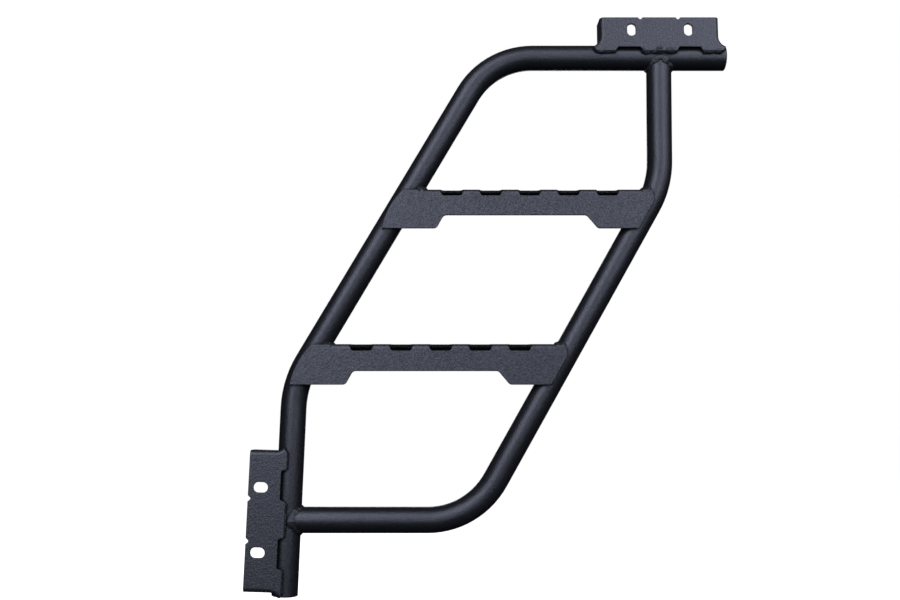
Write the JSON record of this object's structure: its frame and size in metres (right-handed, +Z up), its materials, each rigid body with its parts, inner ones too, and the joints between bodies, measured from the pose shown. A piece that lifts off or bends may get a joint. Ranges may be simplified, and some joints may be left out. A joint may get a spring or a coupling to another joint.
{
  "type": "roof rack side ladder",
  "caption": "Slanted two-rail side ladder of bent round tube with notched sheet steps and slotted bracket plates, for bolting to a vehicle rack.",
  "frame": {"origin": "on the mounting face of the top plate, between its two slots", "axes": "+X along the level top run towards its free end, +Z up, the mounting faces look along -Y"},
  "size_m": [0.5991, 0.039, 0.7201],
  "materials": {
    "tube_coat": "fine-textured satin powder coat on steel tube, very dark grey",
    "sheet_coat": "fine-textured satin powder coat on steel sheet, very dark grey",
    "weld_coat": "powder coat over rippled weld beads, very dark grey"
  },
  "bodies": {
    "root": {"outer_rail": "tube_coat", "inner_rail": "tube_coat", "upper_step": "sheet_coat", "lower_step": "sheet_coat", "top_mount_plate": "sheet_coat", "lower_mount_plate": "sheet_coat", "top_end_cap": "tube_coat", "bottom_end_cap": "tube_coat", "upper_tee_weld": "weld_coat", "lower_tee_weld": "weld_coat", "top_plate_welds": "weld_coat", "lower_plate_welds": "weld_coat", "upper_step_welds": "weld_coat", "lower_step_welds": "weld_coat"}
  },
  "joints": []
}
